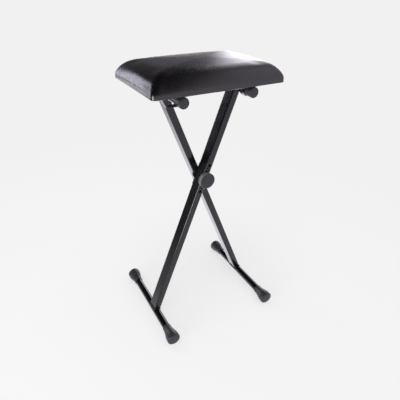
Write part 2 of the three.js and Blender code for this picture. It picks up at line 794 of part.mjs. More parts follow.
function footTube(name) {
  return crossTube(name, footTubeRadius, footLength, footCapRadius, footCapLength, footCapEnd, footFlat);
}

function seatTube(name) {
  return crossTube(name, topTubeRadius, topLength, topCapRadius, topCapLength, topCapEnd, 0);
}

const frontLeg = legPieces("front", "left_foot", "right_top", false);
const rearLeg = legPieces("rear", "right_foot", "left_top", true);
const bench = groupOf([
  groupOf(frontLeg, [0, -legOffset, pivotHeight], [0, lean, 0]),
  groupOf(rearLeg, [0, legOffset, pivotHeight], [0, -lean, Math.PI]),
  groupOf(footTube("left_foot"), [-footReach, 0, footAxisHeight]),
  groupOf(footTube("right_foot"), [footReach, 0, footAxisHeight]),
  groupOf(seatTube("left_top"), [-topReach, 0, topAxisHeight]),
  groupOf(seatTube("right_top"), [topReach, 0, topAxisHeight]),
  groupOf(pivotPieces(), [0, 0, pivotHeight]),
  groupOf(seatPieces(), [0, 0, seatUnderside]),
]);

export default bench;
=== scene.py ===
import json
import bmesh
import bpy
import numpy as np
from mathutils import Matrix, Vector


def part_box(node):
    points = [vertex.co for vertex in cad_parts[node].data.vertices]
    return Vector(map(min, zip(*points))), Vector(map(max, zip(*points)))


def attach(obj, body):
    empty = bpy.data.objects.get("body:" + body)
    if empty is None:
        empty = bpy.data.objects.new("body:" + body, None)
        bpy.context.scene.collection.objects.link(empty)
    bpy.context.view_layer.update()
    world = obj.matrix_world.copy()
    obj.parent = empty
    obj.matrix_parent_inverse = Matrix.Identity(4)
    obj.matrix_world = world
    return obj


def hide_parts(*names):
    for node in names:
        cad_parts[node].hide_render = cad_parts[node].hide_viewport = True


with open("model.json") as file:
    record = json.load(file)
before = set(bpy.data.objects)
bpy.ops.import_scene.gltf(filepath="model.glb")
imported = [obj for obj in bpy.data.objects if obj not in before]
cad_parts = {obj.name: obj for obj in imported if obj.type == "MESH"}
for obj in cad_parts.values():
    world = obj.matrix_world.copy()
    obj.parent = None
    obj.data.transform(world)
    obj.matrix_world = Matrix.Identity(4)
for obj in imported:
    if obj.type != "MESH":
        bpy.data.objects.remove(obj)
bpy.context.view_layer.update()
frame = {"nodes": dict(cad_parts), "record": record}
cadNodes = frame["nodes"]
record = frame["record"]
nodeSlots = {part["node"]: part["material_slot"] for part in record["subparts"]}
nodeBodies = {node: body for body, nodes in record["behaviour"]["bodies"].items() for node in nodes}
mm = 0.001
print("frame loaded:", len(cadNodes), "nodes")


# Helpers for colours, nodes and meshes. Every length is in millimetres until a mesh is made.
def linear(hexColour):
    # sRGB hex to linear RGBA
    srgb = np.array([int(hexColour[i:i + 2], 16) for i in (1, 3, 5)]) / 255
    rgb = np.where(srgb <= 0.04045, srgb / 12.92, ((srgb + 0.055) / 1.055) ** 2.4)
    return (*rgb.tolist(), 1.0)


def add(tree, kind, settings=None, **inputs):
    # adds one node; settings are its own properties, inputs go by name or _number and are values, sockets to
    # link or nodes, of which the first output is linked
    node = tree.nodes.new(kind)
    for name, value in (settings or {}).items():
        setattr(node, name, value)
    for name, value in inputs.items():
        socket = node.inputs[int(name[1:])] if name[0] == "_" else node.inputs[name.replace("_", " ")]
        if isinstance(value, (bpy.types.Node, bpy.types.NodeSocket)):
            tree.links.new(getattr(value, "outputs", [value])[0], socket)
        else:
            socket.default_value = value
    return node


def newMaterial(name):
    # the material, its tree and the point in the object's own coordinates
    material = bpy.data.materials.new(name)
    material.use_nodes = True
    tree = material.node_tree
    tree.nodes.clear()
    return material, tree, add(tree, "ShaderNodeTexCoord").outputs["Object"]


def paint(piece, slotName):
    # gives the piece its slot's material and no other
    piece.data.materials.clear()
    piece.data.materials.append(slotMaterials[slotName])


def placed(name, data):
    # a new object in the scene
    piece = bpy.data.objects.new(name, data)
    bpy.context.scene.collection.objects.link(piece)
    return piece


def vertexPoints(mesh):
    points = np.empty(len(mesh.vertices) * 3)
    mesh.vertices.foreach_get("co", points)
    return points.reshape(-1, 3)


def setPoints(mesh, points):
    mesh.vertices.foreach_set("co", points.ravel())
    mesh.update()


def meshFrom(name, points, faces, smooth=True):
    # a mesh object from points in millimetres; its faces are turned outward by the sign of their volume
    mesh = bpy.data.meshes.new(name)
    mesh.from_pydata((np.asarray(points, float) * mm).tolist(), [], faces)
    mesh.polygons.foreach_set("use_smooth", np.full(len(mesh.polygons), smooth))
    mesh.update()
    mesh.calc_loop_triangles()
    corners = np.empty(len(mesh.loop_triangles) * 3, int)
    mesh.loop_triangles.foreach_get("vertices", corners)
    a, b, c = np.moveaxis(vertexPoints(mesh)[corners].reshape(-1, 3, 3), 1, 0)
    if np.einsum("ij,ij->i", a, np.cross(b, c)).sum() < 0:
        mesh.flip_normals()
    return placed(name, mesh)


def unit(vectors):
    return vectors / np.linalg.norm(vectors, axis=-1, keepdims=True)


def fullTurn(steps):
    return np.linspace(0, 2 * np.pi, steps, endpoint=False)


def gridFaces(rings, n, closed=False):
    # quads between rings of n points, numbered ring by ring; closed joins the last ring to the first
    r = np.arange(rings if closed else rings - 1)[:, None]
    c = np.arange(n)[None, :]
    beside = (c + 1) % n
    ring, nextRing = r * n, (r + 1) % rings * n
    quads = np.stack([ring + c, ring + beside, nextRing + beside, nextRing + c], -1)
    return quads.reshape(-1, 4).tolist()


def endFans(n, last, tips):
    # triangles that close the first ring of n points, and the ring that starts at last, each to its own tip
    i = np.arange(n)
    j = (i + 1) % n
    below = np.stack([np.full(n, tips[0]), j, i], -1)
    above = np.stack([np.full(n, tips[1]), last + i, last + j], -1)
    return below.tolist() + above.tolist()


def creased(piece, degrees=35):
    # keeps edges sharper than this crisp under smooth shading
    piece.data.set_sharp_from_angle(angle=np.radians(degrees))
    return piece


def rounded(corners, steps=5):
    # an open outline of (x, y, radius): each inner corner becomes an arc tangent to its two sides
    spots = np.array([corner[:2] for corner in corners], float)
    out = [spots[:1]]
    for i in range(1, len(corners) - 1):
        radius = corners[i][2]
        if radius == 0:
            out.append(spots[i:i + 1])
            continue
        back, ahead = unit(spots[i - 1] - spots[i]), unit(spots[i + 1] - spots[i])
        half = np.arccos(np.clip(back @ ahead, -1, 1)) / 2
        middle = spots[i] + unit(back + ahead) * radius / np.sin(half)
        start, end = spots[i] + np.array([back, ahead]) * radius / np.tan(half) - middle
        first, last = np.arctan2(start[1], start[0]), np.arctan2(end[1], end[0])
        sweep = (last - first + np.pi) % (2 * np.pi) - np.pi
        t = first + sweep * np.linspace(0, 1, steps + 1)
        out.append(middle + radius * np.stack([np.cos(t), np.sin(t)], -1))
    out.append(spots[-1:])
    return np.concatenate(out)


def roundedLoop(halfX, halfY, corner, around, draw=0.0, steps=10):
    # a closed rounded rectangle in equal steps of its length; each side is pulled in by
    # draw sqrt(cos(pi/2 u)), with u running from -1 to 1 along it
    q = np.linspace(0, np.pi / 2, steps)
    quarters = [(1, 1, 0), (-1, 1, 1), (-1, -1, 2), (1, -1, 3)]
    spots = np.concatenate([
        np.stack([
            sx * (halfX - corner) + corner * np.cos(q + k * np.pi / 2),
            sy * (halfY - corner) + corner * np.sin(q + k * np.pi / 2),
        ], -1) for sx, sy, k in quarters
    ])
    spots = np.concatenate([spots, spots[:1]])
    along = np.concatenate([[0], np.cumsum(np.linalg.norm(np.diff(spots, axis=0), axis=1))])
    s = np.linspace(0, along[-1], around, endpoint=False)
    x, y = np.interp(s, along, spots[:, 0]), np.interp(s, along, spots[:, 1])
    onSide = np.abs(x) > halfX - corner / 2
    onEnd = np.abs(y) > halfY - corner / 2
    pullX = draw * np.sign(x) * np.cos(np.pi * np.clip(y / halfY, -1, 1) / 2).clip(0) ** 0.5 * onSide
    pullY = draw * np.sign(y) * np.cos(np.pi * np.clip(x / halfX, -1, 1) / 2).clip(0) ** 0.5 * onEnd
    return np.stack([x - pullX, y - pullY], -1)


def turned(name, profile, centre, sides, flip=False):
    # a profile of (radius, y) turned about a line along Y: x = radius sin a, z = radius cos a; it starts and
    # ends on the line, where fans close it
    profile = np.asarray(profile, float)
    a = fullTurn(sides)
    radius, y = profile[1:-1, :1], np.repeat(profile[1:-1, 1:], sides, 1)
    rings = np.stack([radius * np.sin(a), y, radius * np.cos(a)], -1).reshape(-1, 3)
    points = np.concatenate([rings, [[0, profile[0, 1], 0], [0, profile[-1, 1], 0]]])
    if flip:
        points[:, 1] *= -1
    faces = gridFaces(len(profile) - 2, sides)
    faces += endFans(sides, (len(profile) - 3) * sides, (len(rings), len(rings) + 1))
    return meshFrom(name, points + centre, faces)


def turnedRing(name, profile, centre, sides=64):
    # a closed profile of (radius, y) turned about a line along Y, with an open bore
    profile = np.asarray(profile, float)
    a = fullTurn(sides)
    y = np.repeat(profile[:, 1:], sides, 1)
    points = np.stack([profile[:, :1] * np.sin(a), y, profile[:, :1] * np.cos(a)], -1).reshape(-1, 3)
    return meshFrom(name, points + centre, gridFaces(len(profile), sides, closed=True))


def ringProfile(inner, outer, low, high, edge):
    # a tube's or washer's section as (radius, y), with its two outer edges broken
    broken = [(outer - edge, low), (outer, low + edge), (outer, high - edge), (outer - edge, high)]
    return [(inner, low), *broken, (inner, high)]


# the corners of a rectangle in turn
cornerSigns = ((-1, -1), (1, -1), (1, 1), (-1, 1))


def block(name, halfX, halfZ, low, high):
    # a box round the Y axis, from y = low to high
    corners = [(sx * halfX, y, sz * halfZ) for y in (low, high) for sx, sz in cornerSigns]
    sides = [(0, 1, 2, 3), (7, 6, 5, 4), (0, 4, 5, 1), (1, 5, 6, 2), (2, 6, 7, 3), (3, 7, 4, 0)]
    return meshFrom(name, corners, sides, False)


def applyModifiers(piece):
    bpy.context.view_layer.objects.active = piece
    for modifier in list(piece.modifiers):
        bpy.ops.object.modifier_apply(modifier=modifier.name)


def cutBy(piece, cutter, operation="DIFFERENCE"):
    # cuts or joins another mesh, which is then deleted
    change = piece.modifiers.new("cut", "BOOLEAN")
    change.operation, change.object, change.solver = operation, cutter, "EXACT"
    applyModifiers(piece)
    bpy.data.objects.remove(cutter, do_unlink=True)


def leanOver(piece, angle, centre):
    # leans a piece about Y and puts it in its place, in its mesh
    turn = Matrix.Translation(Vector(centre) * mm) @ Matrix.Rotation(angle, 4, "Y")
    piece.data.transform(turn)
    piece.data.update()


def standFor(piece, *nodes):
    # the piece takes these nodes' place: it gets their finish and their body, and the nodes are hidden
    slotName = nodeSlots[nodes[0]]
    paint(piece, slotName)
    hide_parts(*nodes)
    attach(piece, nodeBodies[nodes[0]])


softenLook = {"mergeMm": 0.002, "flatDegrees": 1, "sharpDegrees": 42, "segments": 2}


def softened(name, node, bevelMm):
    # a pressed or moulded piece from the frame's own solid, with its edges broken and its bends smooth
    s = softenLook
    mesh = cadNodes[node].data.copy()
    mesh.name = name
    work = bmesh.new()
    work.from_mesh(mesh)
    bmesh.ops.remove_doubles(work, verts=work.verts, dist=s["mergeMm"] * mm)
    flat = np.radians(s["flatDegrees"])
    bmesh.ops.dissolve_limit(work, angle_limit=flat, verts=work.verts, edges=work.edges)
    work.to_mesh(mesh)
    work.free()
    mesh.polygons.foreach_set("use_smooth", np.ones(len(mesh.polygons), bool))
    piece = creased(placed(name, mesh), s["sharpDegrees"])
    bevel = piece.modifiers.new("bevel", "BEVEL")
    bevel.width, bevel.segments, bevel.limit_method = bevelMm * mm, s["segments"], "ANGLE"
    bevel.angle_limit = np.radians(s["sharpDegrees"])
    bevel.harden_normals = True
    standFor(piece, node)


def middleOf(node):
    # the middle of a node's box in the frame, in millimetres
    low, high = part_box(node)
    return (np.array(low) + np.array(high)) / 2 / mm


# Sizes that several pieces share; the places come from the frame
bench = {
    "legWidth": 19.5, "legDepth": 35.5, "legWall": 1.5, "legCorner": 3.0, "legGap": 6.6, "seam": 0.3,
    "footTube": 11.0, "topTube": 11.0, "tubeWall": 1.5,
}
pivotHeight = middleOf("thrust_washer")[2]
topReach, _, topAxis = middleOf("right_top_tube")
footReach, _, footAxis = middleOf("right_foot_tube")
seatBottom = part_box("seat_cushion")[0][2] / mm
leanAngle = np.arctan2(topReach, topAxis - pivotHeight)
seam = bench["seam"]
legMiddle = (bench["legGap"] + bench["legDepth"]) / 2
legFace = bench["legGap"] / 2 + bench["legDepth"]


# Camera: its place in millimetres and its angles in degrees, from a fit to the photograph
camSettings = {
    "place": (-456.95, -818.46, 913.38), "azimuth": -29.567, "elevation": 30.972,
    "roll": 0.43, "lens": 33.894, "sensor": 36, "clip": (0.01, 100),
}


def makeCamera():
    # the right and up axes are turned by the roll about the way back from the bench
    azimuth, elevation, roll = np.radians([camSettings[key] for key in ("azimuth", "elevation", "roll")])
    flat = np.cos(elevation)
    back = Vector((np.sin(azimuth) * flat, -np.cos(azimuth) * flat, np.sin(elevation)))
    right = (-back).cross(Vector((0, 0, 1))).normalized()
    up = right.cross(-back)
    right, up = np.cos(roll) * right + np.sin(roll) * up, np.cos(roll) * up - np.sin(roll) * right
    camera = placed("camera", bpy.data.cameras.new("camera"))
    camera.data.sensor_fit = "HORIZONTAL"
    camera.data.sensor_width = camSettings["sensor"]
    camera.data.lens = camSettings["lens"]
    camera.data.clip_start, camera.data.clip_end = camSettings["clip"]
    turn = Matrix((right, up, back)).transposed().to_4x4()
    camera.matrix_world = Matrix.Translation(Vector(camSettings["place"]) * mm) @ turn
    bpy.context.scene.camera = camera


makeCamera()
print("camera placed")


# Materials: small node helpers, then a function for each kind of surface. Pattern sizes are in millimetres.
def blendColour(tree, share, low, high):
    # low and high are hex colours, sockets or nodes
    low, high = (linear(c) if isinstance(c, str) else c for c in (low, high))
    return add(tree, "ShaderNodeMix", {"data_type": "RGBA"}, _0=share, _6=low, _7=high).outputs["Result"]


def remap(tree, value, fromLow, fromHigh, toLow, toHigh):
    return add(tree, "ShaderNodeMapRange", _0=value, _1=fromLow, _2=fromHigh, _3=toLow, _4=toHigh)


def calculate(tree, operation, a, b):
    return add(tree, "ShaderNodeMath", {"operation": operation}, _0=a, _1=b)


def measure(tree, operation, *vectors):
    # the number that a vector operation gives: a length, a distance or a dot product
    inputs = {f"_{i}": vector for i, vector in enumerate(vectors)}
    return add(tree, "ShaderNodeVectorMath", {"operation": operation}, **inputs).outputs["Value"]


def noise(tree, point, sizeMm, **inputs):
    return add(tree, "ShaderNodeTexNoise", Vector=point, Scale=1 / (sizeMm * mm), **inputs)


def dots(tree, point, sizeMm, **inputs):
    return add(tree, "ShaderNodeTexVoronoi", Vector=point, Scale=1 / (sizeMm * mm), **inputs)


def relief(tree, highMm, height, **inputs):
    return add(tree, "ShaderNodeBump", Distance=highMm * mm, Height=height, **inputs)


def coverWith(tree, **inputs):
    add(tree, "ShaderNodeOutputMaterial", Surface=add(tree, "ShaderNodeBsdfPrincipled", **inputs))


def upholsteryVinyl():
    # PVC-coated cloth, embossed between rollers: black and semi-gloss, with a fine pebble grain that only
    # breaks up the highlights, and long faint undulations where it is drawn over foam
    look = {
        "face": "#131114", "deep": "#0d0b0e", "grainMm": 1.2, "grainHigh": 0.02, "swellMm": 70,
        "swellHigh": 0.12, "patchMm": 16, "patch": (0.3, 0.7), "rough": (0.23, 0.28), "ior": 1.72,
    }
    material, tree, point = newMaterial("embossedUpholsteryVinyl")
    grain = noise(tree, point, look["grainMm"], Detail=2.0, Roughness=0.4)
    patch = noise(tree, point, look["patchMm"], Detail=4.0)
    swollen = relief(tree, look["swellHigh"], noise(tree, point, look["swellMm"], Detail=1.0))
    coverWith(
        tree, Base_Color=blendColour(tree, grain, look["deep"], look["face"]),
        Roughness=remap(tree, patch, *look["patch"], *look["rough"]), IOR=look["ior"],
        Normal=relief(tree, look["grainHigh"], grain, Normal=swollen),
    )
    return material


def powderCoat(name, face, dusty, rough, peelMm, peelHigh):
    # polyester powder coat baked on steel: a faint orange peel, tiny nibs and a thin film of dust
    look = {
        "nibMm": 3.4, "nib": "#2a282e", "nibEdge": (0.04, 0.09), "filmMm": 30, "film": (0.35, 0.65),
        "dust": (0.45, 0.75), "mostDust": 0.5, "ior": 1.56,
    }
    material, tree, point = newMaterial(name)
    peel = noise(tree, point, peelMm, Detail=1.5, Roughness=0.4)
    film = noise(tree, point, look["filmMm"], Detail=5.0)
    coat = blendColour(tree, remap(tree, film, *look["dust"], 0.0, look["mostDust"]), face, dusty)
    nibs = remap(tree, dots(tree, point, look["nibMm"]), *look["nibEdge"], 1.0, 0.0)
    coverWith(
        tree, Base_Color=blendColour(tree, nibs, coat, look["nib"]),
        Roughness=remap(tree, film, *look["film"], *rough), IOR=look["ior"],
        Normal=relief(tree, peelHigh, peel),
    )
    return material


def mouldedPlastic(name, face, pale, rough, grainMm, grainHigh, paintedRimHighlight=None):
    # injection-moulded polymer: the spark-eroded grain of its mould, scuffs and dust in patches; the last
    # colour, if given, is a painted highlight: a paler rim, by its radius round the pivot, for the light the
    # rim catches
    look = {
        "scuffMm": 7, "scuff": (0.5, 0.78), "mostScuffed": 0.5, "patch": (0.3, 0.7), "rim": (21.2, 21.8),
        "ior": 1.5,
    }
    material, tree, point = newMaterial(name)
    grain = noise(tree, point, grainMm, Detail=3.0)
    scuff = noise(tree, point, look["scuffMm"], Detail=6.0, Roughness=0.65, Distortion=0.6)
    colour = blendColour(tree, remap(tree, scuff, *look["scuff"], 0.0, look["mostScuffed"]), face, pale)
    # painted highlight: the rim is blended to a paler colour, by its radius round the pivot, in place of the
    # light it catches
    if paintedRimHighlight:
        flat = add(tree, "ShaderNodeVectorMath", {"operation": "MULTIPLY"}, _0=point, _1=(1, 0, 1))
        reach = measure(tree, "DISTANCE", flat, (0, 0, pivotHeight * mm))
        near, far = (radius * mm for radius in look["rim"])
        colour = blendColour(tree, remap(tree, reach, near, far, 0.0, 1.0), colour, paintedRimHighlight)
    coverWith(
        tree, Base_Color=colour, Roughness=remap(tree, scuff, *look["patch"], *rough), IOR=look["ior"],
        Normal=relief(tree, grainHigh, grain),
    )
    return material


def platedSteel(name, face, dull, rough):
    # zinc plate or drawn wire: bright metal with a cloudy bloom, rougher where it is dull, and a fine texture
    look = {"bloomMm": 2.6, "bloom": (0.3, 0.7), "drawnMm": 0.4, "drawnHigh": 0.008}
    material, tree, point = newMaterial(name)
    bloom = noise(tree, point, look["bloomMm"], Detail=5.0)
    drawn = noise(tree, point, look["drawnMm"], Detail=2.0)
    coverWith(
        tree, Base_Color=blendColour(tree, bloom, dull, face), Metallic=1.0,
        Roughness=remap(tree, bloom, *look["bloom"], *rough), Normal=relief(tree, look["drawnHigh"], drawn),
    )
    return material


def sawnPlywood():
    # rotary-cut plywood: long grain along the board on its faces, thin plies on its sawn edge; a wave texture
    # repeats every 2 pi / 20 of its scale, so that this scale gives one band to a ply
    look = {
        "grainMm": 2.2, "grainHigh": 0.08, "stretch": (0.08, 1.0, 1.0), "plyMm": 2.4, "glueEdge": (0.0, 0.2),
        "mostGlue": 0.6, "light": "#b7956a", "dark": "#8d6c46", "glue": "#5d432a", "rough": 0.72,
    }
    material, tree, point = newMaterial("rotaryCutPlywood")
    stretched = add(tree, "ShaderNodeMapping", Vector=point, Scale=look["stretch"])
    grain = noise(tree, stretched, look["grainMm"], Detail=6.0, Roughness=0.6)
    plies = add(
        tree, "ShaderNodeTexWave", {"bands_direction": "Z"},
        Vector=point, Scale=np.pi / (10 * look["plyMm"] * mm), Distortion=0.3,
    )
    wood = blendColour(tree, grain, look["dark"], look["light"])
    glued = remap(tree, plies, *look["glueEdge"], look["mostGlue"], 0.0)
    coverWith(
        tree, Base_Color=blendColour(tree, glued, wood, look["glue"]), Roughness=look["rough"],
        Normal=relief(tree, look["grainHigh"], grain),
    )
    return material


def dustCover():
    # spun-bonded polypropylene: matt black fibres, heat-bonded in small dots 3 mm apart
    look = {
        "fibreMm": 0.6, "dotMm": 3.0, "dotEdge": (0.2, 0.32), "high": 0.12, "dark": "#131314",
        "light": "#2b2b2d", "rough": 0.9, "sheen": 0.2,
    }
    material, tree, point = newMaterial("spunBondedDustCover")
    fibres = noise(tree, point, look["fibreMm"], Detail=6.0, Roughness=0.7)
    bonded = remap(tree, dots(tree, point, look["dotMm"], Randomness=0.15), *look["dotEdge"], 0.0, 1.0)
    coverWith(
        tree, Base_Color=blendColour(tree, fibres, look["dark"], look["light"]), Roughness=look["rough"],
        Sheen_Weight=look["sheen"], Normal=relief(tree, look["high"], calculate(tree, "ADD", bonded, fibres)),
    )
    return material


slotMaterials = {
    "frame_paint": powderCoat("semiGlossPowderCoat", "#0f0d11", "#171519", (0.13, 0.17), 1.8, 0.012),
    "weld_paint": powderCoat("powderCoatOverWeld", "#161419", "#222026", (0.14, 0.22), 1.1, 0.03),
    "black_steel": powderCoat("blackStripCoat", "#18161b", "#242228", (0.22, 0.32), 1.3, 0.03),
    "cap_plastic": mouldedPlastic("mouldedPolyethyleneCap", "#323136", "#4a494f", (0.34, 0.48), 0.8, 0.03),
    # the knob's last colour is a painted highlight on its rim
    "knob_plastic": mouldedPlastic(
        "mouldedAbsKnob", "#2f2e33", "#3f3e44", (0.32, 0.44), 0.7, 0.03, "#77767b",
    ),
    "black_nylon": mouldedPlastic("mouldedBlackNylon", "#1f1e22", "#333238", (0.4, 0.55), 0.6, 0.02),
    "bright_zinc": platedSteel("brightZincPlate", "#cfd2d8", "#9b9ea6", (0.34, 0.2)),
    "spring_steel": platedSteel("drawnSpringWire", "#a6a9ae", "#777a80", (0.4, 0.26)),
    "vinyl": upholsteryVinyl(),
    "plywood": sawnPlywood(),
    "under_felt": dustCover(),
}
for name, node in cadNodes.items():
    paint(node, nodeSlots[name])
print("materials made:", len(slotMaterials))



# Cushion: the cover is a solid slab whose sides lean in over a Bezier shoulder; cloth pressure fills it out,
# and the pocket for the board is cut afterwards
cushionLook = {
    "width": 342, "depth": 238, "corner": 7, "band": 9, "shoulder": 45, "inset": 40, "crown": 5,
    "upright": 0.36, "level": 0.64, "draw": 0.8, "bulge": 7.5, "widen": 3.5, "raise": 1.0, "proud": 1.0,
    "hem": 1.4, "tuck": 9, "around": 200, "shoulderSteps": 13, "topRings": (0.93, 0.8, 0.6, 0.4, 0.2),
    "skirt": 3.0, "pocket": 13.4, "pocketCorner": 4.0, "pocketAround": 80, "pocketPast": 5,
    "voxel": 4.5, "frames": 20, "cap": 2.4, "evenRounds": 16, "smooth": 3, "softSmooth": 4, "softness": 0.5,
    "softFrom": 15, "softRamp": 20, "sharp": 50,
}
clothSettings = {
    "quality": 6, "mass": 0.4, "tension_stiffness": 18, "compression_stiffness": 12, "bending_stiffness": 0.8,
    "vertex_group_mass": "held", "use_pressure": True, "uniform_pressure_force": 4.0,
}


def makeCushion():
    # above the band a ring's inset and height follow the Bezier curve (0, band), (0, upright), (level,
    # shoulder), (inset, shoulder), drawn out by widen and up by raise in proportion to the rise; with g its
    # share of the inset, its sides are drawn in by draw (1 - g) and bulge out by bulge 4 g (1 - g). Below the
    # band they run straight down, to be tucked in under the board later
    c = cushionLook
    n = c["around"]
    rise = c["shoulder"] - c["band"]
    t = np.linspace(0, 1, c["shoulderSteps"])[1:]
    inset = 3 * (1 - t) * t ** 2 * c["inset"] * c["level"] + t ** 3 * c["inset"]
    high = rise * (3 * (1 - t) ** 2 * t * c["upright"] + 3 * (1 - t) * t ** 2 + t ** 3)
    grown = high / rise
    levels = [(0, -c["tuck"]), (0, 0), (0, c["band"])]
    levels += list(zip(inset - c["widen"] * grown, c["band"] + high + c["raise"] * grown))
    rings = []
    for i, h in levels:
        g = i / c["inset"]
        draw = c["draw"] * max(0, 1 - g) - c["bulge"] * 4 * i / c["inset"] * (1 - g)
        halfX, halfY = (size / 2 + c["proud"] - i for size in (c["width"], c["depth"]))
        rings.append(np.column_stack([roundedLoop(halfX, halfY, c["corner"], n, draw), np.full(n, h)]))
    edge, top = rings[-1][:, :2], levels[-1][1]
    for share in c["topRings"]:
        rings.append(np.column_stack([edge * share, np.full(n, top + c["crown"] * (1 - share ** 2))]))
    points = np.concatenate(rings + [[[0, 0, -c["tuck"]], [0, 0, top + c["crown"]]]])
    points[:, 2] += seatBottom
    faces = gridFaces(len(rings), n)
    faces += endFans(n, (len(rings) - 1) * n, (len(points) - 2, len(points) - 1))
    return meshFrom("cushion_cover", points, faces)


def evened(mesh, field, held):
    # spreads out small differences: each round moves every value half way to the mean of its neighbours, and
    # what is held stays at nothing
    pairs = np.empty(len(mesh.edges) * 2, int)
    mesh.edges.foreach_get("vertices", pairs)
    a, b = pairs.reshape(-1, 2).T
    count = np.bincount(pairs, minlength=len(field))[:, None]
    for step in range(cushionLook["evenRounds"]):
        total = np.zeros_like(field)
        np.add.at(total, a, field[b])
        np.add.at(total, b, field[a])
        field = (field + total / count) / 2
        field[held] = 0
    return field


def inflate(cushion):
    # swells the cover over its foam with cloth pressure; what lies on the board is held, and the swelling is
    # capped by far -> cap tanh(far / cap) and evened out
    c = cushionLook
    mesh = cushion.data
    start = vertexPoints(mesh)
    held = cushion.vertex_groups.new(name="held")
    flatBelow = np.nonzero(start[:, 2] / mm - seatBottom < c["pocket"])[0]
    held.add(flatBelow.tolist(), 1.0, "REPLACE")
    cloth = cushion.modifiers.new("cloth", "CLOTH")
    for name, value in clothSettings.items():
        setattr(cloth.settings, name, value)
    cloth.settings.effector_weights.gravity = 0
    cloth.point_cache.frame_start, cloth.point_cache.frame_end = 1, c["frames"]
    scene = bpy.context.scene
    for step in range(1, c["frames"] + 1):
        scene.frame_set(step)
    swollen = cushion.evaluated_get(bpy.context.evaluated_depsgraph_get())
    move = vertexPoints(swollen.data) - start
    cushion.modifiers.remove(cloth)
    far = np.linalg.norm(move, axis=1, keepdims=True)
    cap = c["cap"] * mm
    move *= cap * np.tanh(far / cap) / np.maximum(far, 1e-9)
    move = evened(mesh, move, flatBelow)
    setPoints(mesh, start + move)
    scene.frame_set(1)
    cushion.vertex_groups.clear()
    farthest = np.linalg.norm(move, axis=1).max() / mm
    print("cushion inflated:", len(start), "points, moved up to", round(float(farthest), 2), "mm")


def tuckUnder(cushion):
    # what is s below the hem turns in on a quarter circle and then runs level:
    # z = hem - hem sin a, inset = hem (1 - cos a) + rest, with a = s / hem up to a quarter turn
    c = cushionLook
    points = vertexPoints(cushion.data) / mm
    below = np.maximum(0, seatBottom + c["hem"] - points[:, 2])
    a = np.minimum(below / c["hem"], np.pi / 2)
    inset = c["hem"] * (1 - np.cos(a)) + np.maximum(0, below - c["hem"] * np.pi / 2)
    points[:, 2] = np.where(below > 0, seatBottom + c["hem"] * (1 - np.sin(a)), points[:, 2])
    points[:, 0] *= 1 - inset / (c["width"] / 2)
    points[:, 1] *= 1 - inset / (c["depth"] / 2)
    setPoints(cushion.data, points * mm)


def finishCushion(cushion):
    # the top and the shoulders are softened more, the higher they lie; then come the one subdivision, the hem
    # that is tucked in under the board, and the board's pocket
    c = cushionLook
    soften = cushion.modifiers.new("soften", "SMOOTH")
    soften.factor, soften.iterations = c["softness"], c["smooth"]
    above = (vertexPoints(cushion.data)[:, 2] / mm - seatBottom - c["softFrom"]) / c["softRamp"]
    foam = cushion.vertex_groups.new(name="foam")
    weights = np.round(np.clip(above, 0, 1), 1)
    for weight in np.unique(weights[weights > 0]):
        foam.add(np.nonzero(weights == weight)[0].tolist(), float(weight), "REPLACE")
    softer = cushion.modifiers.new("softer", "SMOOTH")
    softer.factor, softer.iterations, softer.vertex_group = c["softness"], c["softSmooth"], "foam"
    subdivide = cushion.modifiers.new("subdivide", "SUBSURF")
    subdivide.levels = subdivide.render_levels = 1
    applyModifiers(cushion)
    cushion.vertex_groups.clear()
    tuckUnder(cushion)
    halfX, halfY = c["width"] / 2 - c["skirt"], c["depth"] / 2 - c["skirt"]
    n = c["pocketAround"]
    loop = roundedLoop(halfX, halfY, c["pocketCorner"], n)
    low, high = seatBottom - c["pocketPast"], seatBottom + c["pocket"]
    points = np.concatenate([np.column_stack([loop, np.full(n, z)]) for z in (low, high)])
    faces = gridFaces(2, n) + [list(range(n)), list(range(n, 2 * n))[::-1]]
    cutBy(cushion, meshFrom("pocket_cutter", points, faces))
    cushion.data.polygons.foreach_set("use_smooth", np.ones(len(cushion.data.polygons), bool))
    creased(cushion, c["sharp"])
    standFor(cushion, "seat_cushion")


cushion = makeCushion()
remesh = cushion.modifiers.new("remesh", "REMESH")
remesh.mode, remesh.voxel_size = "VOXEL", cushionLook["voxel"] * mm
applyModifiers(cushion)
inflate(cushion)
finishCushion(cushion)
print("cushion made:", len(cushion.data.polygons), "faces")


# Legs: rectangular tube with rolled corners, saddle-cut at both ends to sit on the cross tubes
legLook = {
    "around": 96, "along": 24, "holeRadius": 4.0, "holeAt": 39.0, "drillPast": 2, "drillSides": 32,
    "sharp": 30,
}


def makeLeg(name, side, lean):
    # a rounded rectangle carried along the leg; at each end z = length - sqrt(r^2 - x^2), so that the tube
    # sits in it. The outer skin runs up, the bore runs down, and the two rims close it.
    b = bench
    n = legLook["around"]
    lower, upper = (pivotHeight - footAxis) / np.cos(lean), (topAxis - pivotHeight) / np.cos(lean)
    skins = []
    for inset in (0, b["legWall"]):
        half = (b["legWidth"] / 2 - inset, b["legDepth"] / 2 - inset)
        loop = roundedLoop(*half, b["legCorner"] - inset, n)
        sagFoot, sagTop = (
            np.sqrt((b[tube] + seam) ** 2 - loop[:, 0] ** 2) for tube in ("footTube", "topTube")
        )
        t = np.linspace(0, 1, legLook["along"])[:, None]
        z = (1 - t) * (sagFoot - lower) + t * (upper - sagTop)
        xy = np.broadcast_to(loop, (len(t), n, 2))
        skins.append(np.concatenate([xy, z[..., None]], -1))
    points = np.concatenate([skins[0], skins[1][::-1]]).reshape(-1, 3)
    leg = meshFrom(name, points, gridFaces(2 * legLook["along"], n, closed=True))
    radius, depth = legLook["holeRadius"], b["legDepth"] / 2 + legLook["drillPast"]
    drill = [(0, -depth), (radius, -depth), (radius, 0), (0, 0)]
    for end in (-1, 1):
        cutBy(leg, turned("drill", drill, (0, 0, end * legLook["holeAt"]), legLook["drillSides"]))
    creased(leg, legLook["sharp"])
    if side > 0:
        leg.data.transform(Matrix.Rotation(np.pi, 4, "Z"))
    leanOver(leg, -side * lean, (0, side * legMiddle, pivotHeight))
    return leg


